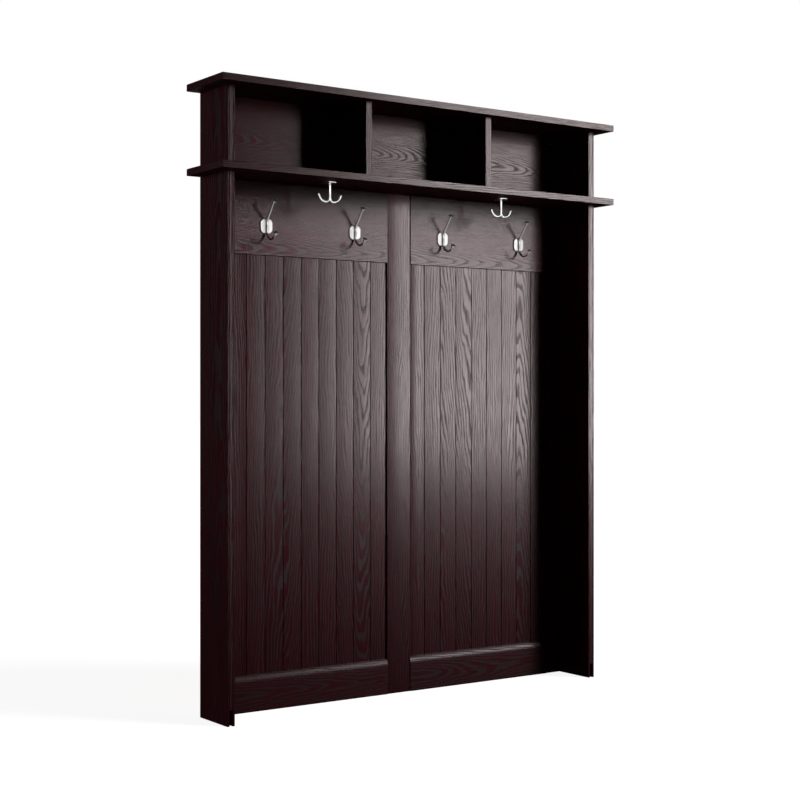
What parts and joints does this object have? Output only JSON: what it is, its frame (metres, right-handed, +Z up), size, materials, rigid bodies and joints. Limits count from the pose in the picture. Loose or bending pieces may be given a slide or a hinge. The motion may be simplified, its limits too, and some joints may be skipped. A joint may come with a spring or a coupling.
{
  "type": "hall tree with hooks",
  "caption": "Tall free-standing coat stand in dark stained oak: cubbies on top, two gables, a framed plank back, double wall hooks and anchor-shaped hooks under the shelf.",
  "frame": {"origin": "on the floor, at the centre of the footprint", "axes": "+Z up, +X to the right seen from the front, +Y from the front to the wall"},
  "size_m": [1.6, 0.238, 2],
  "materials": {
    "stained_oak_veneer": "espresso stain under satin lacquer, oak veneer",
    "stained_oak": "espresso stain under satin lacquer, solid oak",
    "chipboard_core": "raw sawn chipboard",
    "hardboard": "raw smooth hardboard",
    "beech": "raw fluted dowel",
    "satin_nickel": "satin nickel plate on cast zinc",
    "polished_nickel": "polished nickel plate on cast zinc",
    "zinc_plated_steel": "bright zinc plate"
  },
  "bodies": {
    "root": {"top_board": "stained_oak_veneer", "shelf_board": "stained_oak_veneer", "cubby_back": "stained_oak_veneer", "centre_stile": "stained_oak", "divider_left": "stained_oak_veneer", "divider_right": "stained_oak_veneer", "upper_gable_outer_skin_left": "stained_oak_veneer", "upper_gable_inner_skin_left": "stained_oak_veneer", "upper_gable_core_left": "chipboard_core", "upper_gable_lipping_left": "stained_oak", "lower_gable_outer_skin_left": "stained_oak_veneer", "lower_gable_inner_skin_left": "stained_oak_veneer", "lower_gable_core_left": "chipboard_core", "lower_gable_lipping_left": "stained_oak", "side_stile_left": "stained_oak", "top_rail_left": "stained_oak", "bottom_rail_left": "stained_oak", "panel_back_left": "hardboard", "ceiling_hook_left": "polished_nickel", "plank_left_1": "stained_oak", "plank_left_2": "stained_oak", "plank_left_3": "stained_oak", "plank_left_4": "stained_oak", "plank_left_5": "stained_oak", "plank_left_6": "stained_oak", "plank_left_7": "stained_oak", "plank_left_8": "stained_oak", "plank_left_9": "stained_oak", "upper_gable_outer_skin_right": "stained_oak_veneer", "upper_gable_inner_skin_right": "stained_oak_veneer", "upper_gable_core_right": "chipboard_core", "upper_gable_lipping_right": "stained_oak", "lower_gable_outer_skin_right": "stained_oak_veneer", "lower_gable_inner_skin_right": "stained_oak_veneer", "lower_gable_core_right": "chipboard_core", "lower_gable_lipping_right": "stained_oak", "side_stile_right": "stained_oak", "top_rail_right": "stained_oak", "bottom_rail_right": "stained_oak", "panel_back_right": "hardboard", "ceiling_hook_right": "polished_nickel", "plank_right_1": "stained_oak", "plank_right_2": "stained_oak", "plank_right_3": "stained_oak", "plank_right_4": "stained_oak", "plank_right_5": "stained_oak", "plank_right_6": "stained_oak", "plank_right_7": "stained_oak", "plank_right_8": "stained_oak", "plank_right_9": "stained_oak", "wall_hook_1": "satin_nickel", "wall_hook_2": "satin_nickel", "wall_hook_3": "satin_nickel", "wall_hook_4": "satin_nickel", "hook_bolts": "zinc_plated_steel", "ceiling_hook_screws": "zinc_plated_steel", "wood_dowels": "beech", "cam_locks": "zinc_plated_steel", "cam_bolts": "zinc_plated_steel"}
  },
  "joints": []
}
